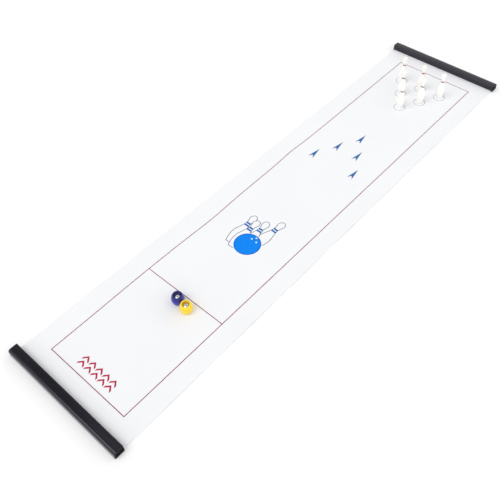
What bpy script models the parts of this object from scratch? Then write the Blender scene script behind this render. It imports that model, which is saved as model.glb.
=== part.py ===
"""Tabletop bowling game.

A roll-up lane mat is held between two hollow end rails. Six pins stand on its far end, and
two rollers, each riding on a steel ball, wait behind the foul line.
Units are metres. +Y runs down the lane towards the pins and +X lies across it.
The origin is on the table, under the middle of the mat.
"""

import math

import bmesh
import bpy
from mathutils import Vector

# The game on the table
GAME_LENGTH = 1.202            # outside to outside of the end rails
CLEARANCE = 0.0003             # gap kept between pieces that seat on each other

# Lane mat
MAT_WIDTH = 0.272
MAT_THICKNESS = 0.0009
MAT_RISE_LENGTH = 0.022        # stretch over which the mat climbs from the table to its slot
MAT_RISE_STEPS = 8
MAT_WRAP_ANGLE = math.radians(300)   # how far the hem goes round its rod
MAT_WRAP_STEPS = 20
LANE_SHIFT = 0.0016            # printed lane's middle line, to the right of the mat's

# Rod in the mat's hem
ROD_RADIUS = 0.0019
ROD_INSET = 0.001              # the rod stops this far inside the mat's edges
ROD_CHAMFER = 0.0004
ROD_SIDES = 16

# End rail, an extruded section
RAIL_DEPTH = 0.020             # along the lane
RAIL_HEIGHT = 0.0155
RAIL_CROWN = 0.0006            # rise of the top face over its edges
RAIL_LEAN = 0.0008             # the outer side leans in this far at the top
RAIL_WALL = 0.0016
RAIL_FOOT_RADIUS = 0.0005      # edges along the table
RAIL_BROW_RADIUS = 0.0012      # top edge towards the lane
RAIL_SHOULDER_RADIUS = 0.0060  # top edge away from the lane
CHAMBER_RADIUS = 0.0010        # corners of the rear chamber, but for the one in the shoulder
SLOT_FLOOR = 0.0009            # height of the slot's lower lip over the table
SLOT_LIP_RADIUS = 0.0003
CHANNEL_SETBACK = 0.0052       # rod channel's centre behind the face towards the lane
CHANNEL_STEPS = 24
CORNER_STEPS = 4
EDGE_STEPS = 2                 # on the small rounded edges of the turned pieces
CROWN_STEPS = 5
SHARPEST_RADIUS = 0.0002       # least rounding left on an inset corner

# Moulded cap in each end of a rail
CAP_THICKNESS = 0.0030
CAP_ROUND_SHARE = 0.75         # of the thickness
CAP_ROUND_STEPS = 4
PLUG_LENGTH = 0.0080
PLUG_WALL = 0.0012

# Pins, in a triangle of one, two and three
PIN_HEIGHT = 0.0670
PIN_BELLY_RADIUS = 0.0097
PIN_SPACING = 0.0520
PIN_ROWS = 3
PIN_SETBACK = 0.0980           # back row in front of the far rail
PIN_FOOT_ROUND = 0.0006
PIN_DISH_DEPTH = 0.0012        # hollow in the underside, so that the pin stands on a ring
PIN_DISH_SHARE = 0.64          # of the foot's radius
PIN_SIDES = 24
PIN_CURVE_STEPS = 16
PIN_DOME_STEPS = 4
# Each pair is a height, as a share of the pin's height, and the radius there, as a share of
# the belly's radius
PIN_OUTLINE_SHARES = (
    (0.000, 0.535),
    (0.140, 0.830),
    (0.300, 1.000),
    (0.430, 0.885),
    (0.575, 0.560),
    (0.675, 0.410),
    (0.785, 0.465),
    (0.910, 0.550),
)

# Rollers
FOUL_LINE = 0.2644             # in front of the near rail
BLUE_ACROSS = 0.0008           # from the lane's middle line
BLUE_BEHIND_LINE = 0.0163
YELLOW_BEHIND_LINE = 0.0201
ROLLER_SPACE = 0.0006          # between the two shells, across the lane
ROLLER_RADIUS = 0.0124         # at the shell's waist
ROLLER_HEIGHT = 0.0188
ROLLER_WAIST_HEIGHT = 0.0092
ROLLER_RIM_RADIUS = 0.0095     # where the bulging side meets the top
ROLLER_FOOT_RADIUS = 0.0105    # where it meets the underside
ROLLER_LIP_CROWN = 0.0009      # rise of the rounded lip round the well
ROLLER_EDGE_ROUND = 0.0006     # edge of the underside
WELL_MOUTH_RADIUS = 0.0070
WELL_FLOOR_RADIUS = 0.0062
SEAT_MOUTH_RADIUS = 0.0055     # the ball's crown shows through this hole
SEAT_LAND = 0.0005             # thickness of the seat's edge
BALL_RADIUS = 0.00873          # bearing ball of eleven sixteenths of an inch
SHELL_RIDE = 0.0007            # how far the ball lifts the shell
RING_RADIUS = 0.0093
RING_HEIGHT = 0.0024
RING_MOUTH_RADIUS = 0.0060
RING_THROAT_RADIUS = 0.0071
ROLLER_SIDES = 28
ROLLER_SIDE_STEPS = 5          # on each side of the waist
ROLLER_LIP_STEPS = 4
WELL_STEPS = 3
SEAT_STEPS = 4
BALL_SIDES = 20
BALL_RINGS = 12

MERGE_DISTANCE = 0.000001
SMOOTH_ANGLE = math.radians(35)

# Sizes worked out from the ones above
RAIL_FACE = GAME_LENGTH / 2 - RAIL_DEPTH
RAIL_LENGTH = MAT_WIDTH + 2 * CLEARANCE
CHANNEL_RADIUS = ROD_RADIUS + MAT_THICKNESS + 2 * CLEARANCE
CHANNEL_HEIGHT = SLOT_FLOOR + CHANNEL_RADIUS
SLOT_ROOF = SLOT_FLOOR + MAT_THICKNESS + 2 * CLEARANCE
LANE_TOP = MAT_THICKNESS + CLEARANCE
BALL_HEIGHT = BALL_RADIUS - SHELL_RIDE   # ball's centre over the shell's underside
SOCKET_RADIUS = BALL_RADIUS + CLEARANCE


# Scene and materials

def clear_scene():
    for item in list(bpy.data.objects):
        bpy.data.objects.remove(item, do_unlink=True)


def make_material(name, colour, roughness, metallic=0.0):
    material = bpy.data.materials.new(name)
    material.use_nodes = True
    shader = material.node_tree.nodes["Principled BSDF"]
    shader.inputs["Base Color"].default_value = (*colour, 1.0)
    shader.inputs["Roughness"].default_value = roughness
    shader.inputs["Metallic"].default_value = metallic
    return material


def add_frame(name, location, turn=0.0):
    """An empty that carries the pieces of one assembly."""
    frame = bpy.data.objects.new(name, None)
    frame.location = location
    frame.rotation_euler = (0.0, 0.0, turn)
    bpy.context.collection.objects.link(frame)
    return frame


def add_piece(name, mesh, parent=None, location=(0.0, 0.0, 0.0), rotation=(0.0, 0.0, 0.0)):
    piece = bpy.data.objects.new(name, mesh)
    piece.location = location
    piece.rotation_euler = rotation
    piece.parent = parent
    bpy.context.collection.objects.link(piece)
    return piece


def finish_mesh(name, shape, material):
    """Turns the edited shape into a smooth-shaded mesh with its faces pointing out."""
    bmesh.ops.recalc_face_normals(shape, faces=shape.faces)
    mesh = bpy.data.meshes.new(name)
    shape.to_mesh(mesh)
    shape.free()
    mesh.materials.append(material)
    mesh.shade_smooth()
    mesh.set_sharp_from_angle(angle=SMOOTH_ANGLE)
    return mesh


# Outlines in a plane

def arc(centre, radius, start, end, steps):
    """Points of an arc, both ends included."""
    turn = (end - start) / steps
    return [
        (centre[0] + radius * math.cos(start + turn * step),
         centre[1] + radius * math.sin(start + turn * step))
        for step in range(steps + 1)
    ]


def inset_corners(corners, distance):
    """Moves every side of a convex outline, listed anticlockwise, inwards."""
    moved = []
    for index, corner in enumerate(corners):
        here = Vector(corner)
        before = (here - Vector(corners[index - 1])).normalized()
        after = (Vector(corners[(index + 1) % len(corners)]) - here).normalized()
        inward = Vector((-before.y - after.y, before.x + after.x)).normalized()
        cosine = inward.dot(Vector((-before.y, before.x)))
        moved.append(tuple(here + inward * (distance / cosine)))
    return moved


def rounded_corner(before, corner, after, radius, steps=CORNER_STEPS):
    """The arc that rounds a corner, or the corner itself where the radius is zero."""
    if radius == 0:
        return [tuple(corner)]
    here = Vector(corner)
    back = Vector(before) - here
    ahead = Vector(after) - here
    half_angle = back.angle(ahead) / 2
    reach = min(radius / math.tan(half_angle), back.length / 2, ahead.length / 2)
    radius = reach * math.tan(half_angle)
    first = here + back.normalized() * reach
    last = here + ahead.normalized() * reach
    middle = here + (back.normalized() + ahead.normalized()).normalized() * (
        radius / math.sin(half_angle))
    start = math.atan2(first.y - middle.y, first.x - middle.x)
    end = math.atan2(last.y - middle.y, last.x - middle.x)
    sweep = (end - start + math.pi) % math.tau - math.pi
    return arc(middle, radius, start, start + sweep, steps)


def rounded_outline(corners, radii):
    points = []
    for index, (corner, radius) in enumerate(zip(corners, radii)):
        before = corners[index - 1]
        after = corners[(index + 1) % len(corners)]
        points += rounded_corner(before, corner, after, radius)
    return points


def crown_line(start, end):
    """Points between two ends of the rail's slightly domed top."""
    points = []
    for step in range(1, CROWN_STEPS):
        share = step / CROWN_STEPS
        rise = RAIL_CROWN * (1 - (2 * share - 1) ** 2)
        points.append((start[0] + (end[0] - start[0]) * share,
                       start[1] + (end[1] - start[1]) * share + rise))
    return points


def smooth_line(knots, steps):
    """A Catmull-Rom curve through the knots, as evenly stepped points. It ends upright."""
    knots = [Vector(knot) for knot in knots]
    below, top = knots[-2:]
    above = Vector((below.x, 2 * top.y - below.y))
    ends = [2 * knots[0] - knots[1]] + knots + [above]
    points = []
    for step in range(steps + 1):
        place = step / steps * (len(knots) - 1)
        first = min(int(place), len(knots) - 2)
        share = place - first
        a, b, c, d = ends[first:first + 4]
        points.append(tuple(
            b + share * (c - a) / 2
            + share ** 2 * (2 * a - 5 * b + 4 * c - d) / 2
            + share ** 3 * (3 * b - a - 3 * c + d) / 2))
    return points


# Solids from outlines

def add_loop(shape, outline, place):
    """A ring of vertices across the rail's length, at one place along X."""
    ring = [shape.verts.new((place, depth, height)) for depth, height in outline]
    for index, vertex in enumerate(ring):
        shape.edges.new((ring[index - 1], vertex))
    return ring


def add_wall(shape, first, second):
    """Quads from one ring to the next."""
    for index in range(len(first)):
        shape.faces.new((first[index - 1], first[index], second[index], second[index - 1]))


def fill_rings(shape, *rings):
    """A flat face that one ring bounds, less the holes that the others bound."""
    edges = []
    for ring in rings:
        for index, vertex in enumerate(ring):
            edges.append(shape.edges.get((ring[index - 1], vertex)))
    bmesh.ops.triangle_fill(shape, use_beauty=True, use_dissolve=False, edges=edges)


def turned_mesh(name, outline, sides, material, closed=False):
    """Turns an outline of (radius, height) points about Z."""
    shape = bmesh.new()
    points = [shape.verts.new((radius, 0.0, height)) for radius, height in outline]
    lines = [shape.edges.new(pair) for pair in zip(points, points[1:])]
    if closed:
        lines.append(shape.edges.new((points[-1], points[0])))
    bmesh.ops.spin(shape, geom=points + lines, cent=(0.0, 0.0, 0.0), axis=(0.0, 0.0, 1.0),
                   angle=math.tau, steps=sides, use_merge=True)
    bmesh.ops.remove_doubles(shape, verts=shape.verts, dist=MERGE_DISTANCE)
    return finish_mesh(name, shape, material)


# Lane mat

def mat_end_line():
    """Middle line of the mat's end, from the table up into the slot and round the rod."""
    low = MAT_THICKNESS / 2
    high = SLOT_FLOOR + CLEARANCE + MAT_THICKNESS / 2
    points = []
    for step in range(MAT_RISE_STEPS + 1):
        share = step / MAT_RISE_STEPS
        ease = share * share * (3 - 2 * share)
        points.append((RAIL_FACE - MAT_RISE_LENGTH * (1 - share), low + (high - low) * ease))
    centre = (RAIL_FACE + CHANNEL_SETBACK, CHANNEL_HEIGHT)
    hem_radius = ROD_RADIUS + CLEARANCE + MAT_THICKNESS / 2
    start = -math.pi / 2
    points += arc(centre, hem_radius, start, start + MAT_WRAP_ANGLE, MAT_WRAP_STEPS)
    return points


def make_mat(material):
    far_line = mat_end_line()
    near_line = [(-along, height) for along, height in reversed(far_line)]
    shape = bmesh.new()
    points = [shape.verts.new((-MAT_WIDTH / 2, along, height))
              for along, height in near_line + far_line]
    lines = [shape.edges.new(pair) for pair in zip(points, points[1:])]
    sheet = bmesh.ops.extrude_edge_only(shape, edges=lines)
    moved = [item for item in sheet["geom"] if isinstance(item, bmesh.types.BMVert)]
    bmesh.ops.translate(shape, vec=(MAT_WIDTH, 0.0, 0.0), verts=moved)
    mat = add_piece("lane_mat", finish_mesh("lane_mat", shape, material))
    thickness = mat.modifiers.new("thickness", "SOLIDIFY")
    thickness.thickness = MAT_THICKNESS
    thickness.offset = 0.0
    thickness.use_even_offset = True


# End rails

def rail_corners():
    return [
        (0.0, 0.0),
        (RAIL_DEPTH, 0.0),
        (RAIL_DEPTH - RAIL_LEAN, RAIL_HEIGHT - RAIL_CROWN),
        (0.0, RAIL_HEIGHT - RAIL_CROWN),
    ]


def rail_outside(inset=0.0):
    """The rail's outer outline, anticlockwise from the foot of the face towards the lane."""
    corners = inset_corners(rail_corners(), inset)
    radii = [
        max(radius - inset, SHARPEST_RADIUS)
        for radius in (RAIL_FOOT_RADIUS, RAIL_FOOT_RADIUS, RAIL_SHOULDER_RADIUS, RAIL_BROW_RADIUS)
    ]
    points = rounded_outline(corners, radii)
    brow = points[-(CORNER_STEPS + 1):]
    below_brow = points[:-(CORNER_STEPS + 1)]
    return below_brow + crown_line(below_brow[-1], brow[0]) + brow


def slot_and_channel():
    """From the slot's upper lip, round the rod channel, to the slot's lower lip."""
    centre = (CHANNEL_SETBACK, CHANNEL_HEIGHT)
    drop = CHANNEL_HEIGHT - SLOT_ROOF
    entry = math.pi + math.asin(drop / CHANNEL_RADIUS)
    channel = arc(centre, CHANNEL_RADIUS, entry, -math.pi / 2, CHANNEL_STEPS)
    face_top = (0.0, RAIL_HEIGHT - RAIL_CROWN)
    upper_lip = rounded_corner(face_top, (0.0, SLOT_ROOF), channel[0], SLOT_LIP_RADIUS)
    lower_lip = rounded_corner(channel[-1], (0.0, SLOT_FLOOR), (0.0, 0.0), SLOT_LIP_RADIUS)
    return upper_lip + channel + lower_lip


def chamber_outline(inset=0.0):
    """The hollow behind the rod channel, which takes the end caps' plugs."""
    rear = rail_corners()
    front = CHANNEL_SETBACK + CHANNEL_RADIUS
    rear[0] = (front, rear[0][1])
    rear[3] = (front, rear[3][1])
    corners = inset_corners(rear, RAIL_WALL + inset)
    shoulder = max(RAIL_SHOULDER_RADIUS - RAIL_WALL, CHAMBER_RADIUS)
    radii = [
        max(radius - inset, SHARPEST_RADIUS)
        for radius in (CHAMBER_RADIUS, CHAMBER_RADIUS, shoulder, CHAMBER_RADIUS)
    ]
    return rounded_outline(corners, radii)


def rail_mesh(material):
    section = rail_outside() + slot_and_channel()
    chamber = chamber_outline()
    shape = bmesh.new()
    ends = []
    for place in (-RAIL_LENGTH / 2, RAIL_LENGTH / 2):
        rings = (add_loop(shape, section, place), add_loop(shape, chamber, place))
        fill_rings(shape, *rings)
        ends.append(rings)
    for first, second in zip(*ends):
        add_wall(shape, first, second)
    return finish_mesh("rail", shape, material)


def cap_mesh(material, side):
    """An end cap with a domed outside and a hollow plug. The side is 1 towards +X."""
    shape = bmesh.new()
    plug = chamber_outline(CLEARANCE)
    cup = chamber_outline(CLEARANCE + PLUG_WALL)
    seat = add_loop(shape, rail_outside(), 0.0)
    plug_root = add_loop(shape, plug, 0.0)
    plug_tip = add_loop(shape, plug, -side * PLUG_LENGTH)
    cup_mouth = add_loop(shape, cup, -side * PLUG_LENGTH)
    cup_floor = add_loop(shape, cup, 0.0)
    fill_rings(shape, seat, plug_root)
    add_wall(shape, plug_root, plug_tip)
    fill_rings(shape, plug_tip, cup_mouth)
    add_wall(shape, cup_mouth, cup_floor)
    fill_rings(shape, cup_floor)
    rounding = CAP_THICKNESS * CAP_ROUND_SHARE
    ring = seat
    for step in range(CAP_ROUND_STEPS + 1):
        angle = math.pi / 2 * step / CAP_ROUND_STEPS
        inset = rounding * (1 - math.cos(angle))
        place = CAP_THICKNESS - rounding * (1 - math.sin(angle))
        following = add_loop(shape, rail_outside(inset), side * place)
        add_wall(shape, ring, following)
        ring = following
    fill_rings(shape, ring)
    return finish_mesh("rail_cap", shape, material)


def rod_mesh(material):
    half = MAT_WIDTH / 2 - ROD_INSET
    outline = [
        (0.0, -half),
        (ROD_RADIUS - ROD_CHAMFER, -half),
        (ROD_RADIUS, -half + ROD_CHAMFER),
        (ROD_RADIUS, half - ROD_CHAMFER),
        (ROD_RADIUS - ROD_CHAMFER, half),
        (0.0, half),
    ]
    return turned_mesh("mat_rod", outline, ROD_SIDES, material)


def make_rails(rail_material, cap_material, rod_material):
    rail = rail_mesh(rail_material)
    rod = rod_mesh(rod_material)
    caps = {side: cap_mesh(cap_material, side) for side in (-1, 1)}
    cap_place = RAIL_LENGTH / 2 + CLEARANCE
    for end, sign, turn in (("near", -1, math.pi), ("far", 1, 0.0)):
        frame = add_frame(end + "_end", (0.0, sign * RAIL_FACE, 0.0), turn)
        add_piece(end + "_rail", rail, frame)
        add_piece(end + "_mat_rod", rod, frame, (0.0, CHANNEL_SETBACK, CHANNEL_HEIGHT),
                  (0.0, math.pi / 2, 0.0))
        for side, cap in caps.items():
            hand = "left" if side * sign < 0 else "right"
            add_piece(end + "_rail_" + hand + "_cap", cap, frame, (side * cap_place, 0.0, 0.0))


# Pins

def pin_outline():
    """Half of the pin's outline, from the dish in its foot up to its crown."""
    knots = [(radius * PIN_BELLY_RADIUS, height * PIN_HEIGHT)
             for height, radius in PIN_OUTLINE_SHARES]
    side = smooth_line(knots, PIN_CURVE_STEPS)
    foot, head = side[0], side[-1]
    dish = foot[0] * PIN_DISH_SHARE
    foot_edge = rounded_corner((dish, 0.0), foot, side[1], PIN_FOOT_ROUND, EDGE_STEPS)
    dome = []
    for step in range(1, PIN_DOME_STEPS + 1):
        angle = math.pi / 2 * step / PIN_DOME_STEPS
        dome.append((head[0] * math.cos(angle),
                     head[1] + (PIN_HEIGHT - head[1]) * math.sin(angle)))
    dome[-1] = (0.0, PIN_HEIGHT)
    return [(0.0, PIN_DISH_DEPTH), (dish, 0.0)] + foot_edge + side[1:] + dome


def make_pins(material):
    mesh = turned_mesh("pin", pin_outline(), PIN_SIDES, material)
    foot_radius = PIN_OUTLINE_SHARES[0][1] * PIN_BELLY_RADIUS
    row_pitch = PIN_SPACING * math.sin(math.pi / 3)
    number = 0
    for row in range(PIN_ROWS):
        along = RAIL_FACE - PIN_SETBACK - row_pitch * (PIN_ROWS - 1 - row)
        for place in range(row + 1):
            number += 1
            across = LANE_SHIFT + PIN_SPACING * (place - row / 2)
            tipping_edge = (across, along + foot_radius, LANE_TOP)
            frame = add_frame("pin_{}_tipping_edge".format(number), tipping_edge)
            add_piece("pin_{}".format(number), mesh, frame, (0.0, -foot_radius, 0.0))


# Rollers

def bulging_side(end_radius, rise):
    """An arc from the waist, where the wall is upright, to an end at this rise over it."""
    bulge = ROLLER_RADIUS - end_radius
    side_radius = (rise ** 2 + bulge ** 2) / (2 * bulge)
    centre = (ROLLER_RADIUS - side_radius, ROLLER_WAIST_HEIGHT)
    return arc(centre, side_radius, 0.0, math.asin(rise / side_radius), ROLLER_SIDE_STEPS)


def shell_outline():
    """The shell's wall: bulging side, rounded lip, well, ball seat and ring recess."""
    lower = bulging_side(ROLLER_FOOT_RADIUS, -ROLLER_WAIST_HEIGHT)
    upper = bulging_side(ROLLER_RIM_RADIUS, ROLLER_HEIGHT - ROLLER_WAIST_HEIGHT)
    side = lower[::-1] + upper[1:]
    recess = RING_RADIUS + CLEARANCE
    edge = rounded_corner((recess, 0.0), side[0], side[1], ROLLER_EDGE_ROUND, EDGE_STEPS)

    lip_middle = (ROLLER_RIM_RADIUS + WELL_MOUTH_RADIUS) / 2
    lip_reach = (ROLLER_RIM_RADIUS - WELL_MOUTH_RADIUS) / 2
    lip = []
    for step in range(1, ROLLER_LIP_STEPS + 1):
        angle = math.pi * step / ROLLER_LIP_STEPS
        lip.append((lip_middle + lip_reach * math.cos(angle),
                    ROLLER_HEIGHT + ROLLER_LIP_CROWN * math.sin(angle)))

    seat_angle = math.acos(SEAT_MOUTH_RADIUS / SOCKET_RADIUS)
    seat = arc((0.0, BALL_HEIGHT), SOCKET_RADIUS, seat_angle, 0.0, SEAT_STEPS)
    floor = seat[0][1] + SEAT_LAND
    well = []
    for step in range(1, WELL_STEPS + 1):
        angle = math.pi / 2 * step / WELL_STEPS
        well.append((WELL_FLOOR_RADIUS + (WELL_MOUTH_RADIUS - WELL_FLOOR_RADIUS) * math.cos(angle),
                     ROLLER_HEIGHT + (floor - ROLLER_HEIGHT) * math.sin(angle)))
    recess_roof = RING_HEIGHT + CLEARANCE
    inside = [(SEAT_MOUTH_RADIUS, floor)] + seat + [
        (SOCKET_RADIUS, recess_roof),
        (recess, recess_roof),
        (recess, 0.0),
    ]
    return edge + side[1:] + lip + well + inside


def ring_outline():
    """The ring that keeps the ball in, pressed into the shell from below."""
    return [
        (RING_MOUTH_RADIUS, 0.0),
        (RING_RADIUS, 0.0),
        (RING_RADIUS, RING_HEIGHT),
        (RING_THROAT_RADIUS, RING_HEIGHT),
    ]


def ball_mesh(material):
    shape = bmesh.new()
    bmesh.ops.create_uvsphere(shape, u_segments=BALL_SIDES, v_segments=BALL_RINGS,
                              radius=BALL_RADIUS)
    return finish_mesh("roller_ball", shape, material)


def make_roller(name, place, shell_material, ring_material, ball):
    frame = add_frame(name + "_roller", (*place, LANE_TOP + SHELL_RIDE))
    shell = turned_mesh(name + "_roller_shell", shell_outline(), ROLLER_SIDES, shell_material,
                        closed=True)
    ring = turned_mesh(name + "_roller_ring", ring_outline(), ROLLER_SIDES, ring_material,
                       closed=True)
    add_piece(name + "_roller_shell", shell, frame)
    add_piece(name + "_roller_ring", ring, frame)
    add_piece(name + "_roller_ball", ball, frame, (0.0, 0.0, BALL_HEIGHT))


def make_rollers(blue, yellow, ring_material, steel):
    line = -RAIL_FACE + FOUL_LINE
    blue_place = (LANE_SHIFT + BLUE_ACROSS, line - BLUE_BEHIND_LINE)
    yellow_place = (blue_place[0] + 2 * ROLLER_RADIUS + ROLLER_SPACE, line - YELLOW_BEHIND_LINE)
    ball = ball_mesh(steel)
    make_roller("blue", blue_place, blue, ring_material, ball)
    make_roller("yellow", yellow_place, yellow, ring_material, ball)


def main():
    clear_scene()
    white_mat = make_material("white_mat", (0.93, 0.94, 0.96), 0.6)
    black_plastic = make_material("black_plastic", (0.025, 0.025, 0.03), 0.42)
    black_cap = make_material("black_cap", (0.02, 0.02, 0.024), 0.38)
    grey_rod = make_material("grey_rod", (0.45, 0.45, 0.45), 0.6)
    ivory_plastic = make_material("ivory_plastic", (0.93, 0.91, 0.86), 0.3)
    blue_plastic = make_material("blue_plastic", (0.03, 0.03, 0.45), 0.3)
    yellow_plastic = make_material("yellow_plastic", (0.95, 0.70, 0.03), 0.3)
    black_ring = make_material("black_ring", (0.03, 0.03, 0.03), 0.5)
    steel = make_material("polished_steel", (0.75, 0.75, 0.76), 0.12, 1.0)
    make_mat(white_mat)
    make_rails(black_plastic, black_cap, grey_rod)
    make_pins(ivory_plastic)
    make_rollers(blue_plastic, yellow_plastic, black_ring, steel)


main()
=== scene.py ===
import math

import bmesh
import bpy
from mathutils import Matrix, Vector


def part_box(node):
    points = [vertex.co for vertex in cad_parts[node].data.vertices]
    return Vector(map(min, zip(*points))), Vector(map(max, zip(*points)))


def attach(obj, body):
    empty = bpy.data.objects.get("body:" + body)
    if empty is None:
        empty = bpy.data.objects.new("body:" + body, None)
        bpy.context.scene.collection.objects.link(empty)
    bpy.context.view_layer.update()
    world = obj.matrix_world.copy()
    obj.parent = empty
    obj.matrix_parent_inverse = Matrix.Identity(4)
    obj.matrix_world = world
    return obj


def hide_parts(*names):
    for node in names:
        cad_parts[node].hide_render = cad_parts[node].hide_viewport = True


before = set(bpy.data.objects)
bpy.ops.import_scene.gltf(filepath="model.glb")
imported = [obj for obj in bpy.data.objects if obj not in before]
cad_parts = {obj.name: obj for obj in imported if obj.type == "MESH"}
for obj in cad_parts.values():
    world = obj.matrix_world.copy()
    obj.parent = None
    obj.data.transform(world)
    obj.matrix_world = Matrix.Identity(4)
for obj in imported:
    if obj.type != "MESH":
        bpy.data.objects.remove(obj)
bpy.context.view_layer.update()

# Looks of the tabletop bowling game. Metres; +Y runs down the lane, +X across it, +Z up.
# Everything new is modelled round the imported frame, whose boxes give the places.

tiny = 0.000005          # tolerance for picking vertices by their place
weld = 0.000002          # vertices closer than this are merged

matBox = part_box("lane_mat")
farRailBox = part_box("far_rail")
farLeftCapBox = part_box("far_rail_left_cap")


# Ways of working

def footOf(node):
    # the middle of a node's underside
    low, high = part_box(node)
    return Vector(((low.x + high.x) / 2, (low.y + high.y) / 2, low.z))


laneMiddle = footOf("pin_1").x       # the print lies a little off the mat's middle


def calm():
    # back to object mode, with nothing selected
    if bpy.context.object and bpy.context.object.mode != "OBJECT":
        bpy.ops.object.mode_set(mode="OBJECT")
    bpy.ops.object.select_all(action="DESELECT")


def focus(piece):
    calm()
    piece.select_set(True)
    bpy.context.view_layer.objects.active = piece


def fresh(name):
    # names what an add operator just made, and settles its place into its mesh
    piece = bpy.context.object
    piece.name = name
    piece.data.name = name
    bpy.ops.object.transform_apply(location=True, rotation=True, scale=True)
    return piece


def openMesh(piece):
    focus(piece)
    bpy.ops.object.mode_set(mode="EDIT")
    pickAll()


def pickAll():
    bpy.ops.mesh.select_all(action="SELECT")


def pick(piece, kind, wanted):
    bpy.ops.mesh.select_mode(type=kind)
    bpy.ops.mesh.select_all(action="DESELECT")
    shape = bmesh.from_edit_mesh(piece.data)
    group = {"VERT": shape.verts, "EDGE": shape.edges, "FACE": shape.faces}[kind]
    for part in [part for part in group if wanted(part)]:
        part.select_set(True)
    shape.select_flush_mode()
    bmesh.update_edit_mesh(piece.data)


def slide(x=0.0, y=0.0, z=0.0):
    bpy.ops.transform.translate(value=(x, y, z))


def pull(x=0.0, y=0.0, z=0.0):
    bpy.ops.mesh.extrude_region_move(TRANSFORM_OT_translate={"value": (x, y, z)})


def settle(piece, name, **settings):
    # adds one modifier and applies it
    focus(piece)
    step = piece.modifiers.new(name.lower(), name)
    for key, value in settings.items():
        setattr(step, key, value)
    bpy.ops.object.modifier_apply(modifier=step.name)


def drop(piece):
    bpy.data.objects.remove(piece, do_unlink=True)


def carve(piece, cutter, way="DIFFERENCE"):
    settle(piece, "BOOLEAN", object=cutter, operation=way, solver="EXACT")
    drop(cutter)


def copyOf(piece, name, shift=(0.0, 0.0, 0.0), turn=0.0):
    # a twin with its own mesh
    focus(piece)
    bpy.ops.object.duplicate()
    twin = bpy.context.object
    twin.matrix_world = Matrix.Translation(shift) @ Matrix.Rotation(turn, 4, "Z")
    return fresh(name)


def joinAll(pieces, name):
    calm()
    for piece in pieces:
        piece.select_set(True)
    bpy.context.view_layer.objects.active = pieces[0]
    bpy.ops.object.join()
    return fresh(name)


def softEdges(piece, degrees):
    # shades smooth over edges that turn by less than this
    focus(piece)
    bpy.ops.object.shade_smooth_by_angle(angle=math.radians(degrees))


def tidy(piece, paint=None, smooth=None):
    # merges doubles, faces outwards, shades and paints
    openMesh(piece)
    bpy.ops.mesh.remove_doubles(threshold=weld)
    pickAll()
    bpy.ops.mesh.normals_make_consistent(inside=False)
    focus(piece)
    if smooth:
        softEdges(piece, smooth)
    if paint:
        piece.data.materials.clear()
        piece.data.materials.append(paint)
    return piece


def faceUp(piece):
    # turns a flat shape over if it faces the table
    if sum(face.normal.z for face in piece.data.polygons) < 0:
        openMesh(piece)
        bpy.ops.mesh.flip_normals()


def thicken(piece, thickness, offset=1.0, paint=None):
    tidy(piece, paint)
    faceUp(piece)
    settle(piece, "SOLIDIFY", thickness=thickness, offset=offset)
    return piece


def easyCurve(knots, steps):
    # smooth line through (width, height) knots, upright at its top
    points = [Vector(knot) for knot in knots]
    below, top = points[-2:]
    points = [2 * points[0] - points[1]] + points + [Vector((below.x, 2 * top.y - below.y))]
    line = []
    for step in range(steps + 1):
        spot = step / steps * (len(knots) - 1)
        first = min(int(spot), len(knots) - 2)
        t = spot - first
        a, b, c, d = points[first:first + 4]
        line.append(b + t * (c - a) / 2 + t ** 2 * (2 * a - 5 * b + 4 * c - d) / 2
                    + t ** 3 * (3 * b - a - 3 * c + d) / 2)
    return [(point.x, point.y) for point in line]


def arcLine(middle, radius, start, end, steps, tall=None):
    # (width, height) points on an arc, angles in degrees; an oval one if tall is given
    line = []
    for step in range(steps + 1):
        angle = math.radians(start + (end - start) * step / steps)
        line.append((middle[0] + radius * math.cos(angle),
                     middle[1] + (tall or radius) * math.sin(angle)))
    return line


def turned(name, middle, rings, sides, ringShut=False):
    # a circle pulled up and scaled ring by ring; rings are (radius, height over the middle)
    calm()
    x, y, z = middle
    bpy.ops.mesh.primitive_circle_add(vertices=sides, radius=rings[0][0],
                                      location=(x, y, z + rings[0][1]))
    piece = fresh(name)
    openMesh(piece)
    for (wide, low), (wider, high) in zip(rings, rings[1:]):
        pull(z=high - low)
        share = wider / wide
        bpy.ops.transform.resize(value=(share, share, 1), center_override=(x, y, z + high))
    if ringShut:
        pickAll()
        bpy.ops.mesh.remove_doubles(threshold=tiny)
    return piece


def closeRing(piece, height):
    # fills an open ring at one height with a fan of triangles
    pick(piece, "EDGE", lambda edge: edge.is_boundary
         and all(abs(end.co.z - height) < tiny for end in edge.verts))
    bpy.ops.mesh.edge_face_add()
    bpy.ops.mesh.poke()


# Node materials

def shaderOf(material):
    return material.node_tree.nodes["Principled BSDF"]


def feed(node, sockets):
    # each socket gets a plain value, or a wire from another node's output
    for key, value in sockets.items():
        if isinstance(value, bpy.types.NodeSocket):
            value.id_data.links.new(value, node.inputs[key])
        else:
            node.inputs[key].default_value = value


def newMaterial(name, colour, roughness, sockets=None):
    # what is the same all over the surface goes on the shader's own sockets
    material = bpy.data.materials.new(name)
    material.use_nodes = True
    feed(shaderOf(material),
         {"Base Color": (*colour, 1), "Roughness": roughness, **(sockets or {})})
    return material


def addNode(tree, kind, sockets=None, **settings):
    made = tree.nodes.new(kind)
    for key, value in settings.items():
        setattr(made, key, value)
    feed(made, sockets or {})
    return made


def placeOf(material, stretch=(1, 1, 1)):
    # the piece's own coordinates, stretched as asked
    where = addNode(material.node_tree, "ShaderNodeTexCoord").outputs["Object"]
    return addNode(where.id_data, "ShaderNodeMapping",
                   {"Vector": where, "Scale": stretch}).outputs["Vector"]


def coordinates(where):
    # X, Y and Z of a place, each by itself
    return addNode(where.id_data, "ShaderNodeSeparateXYZ", {"Vector": where}).outputs


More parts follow.
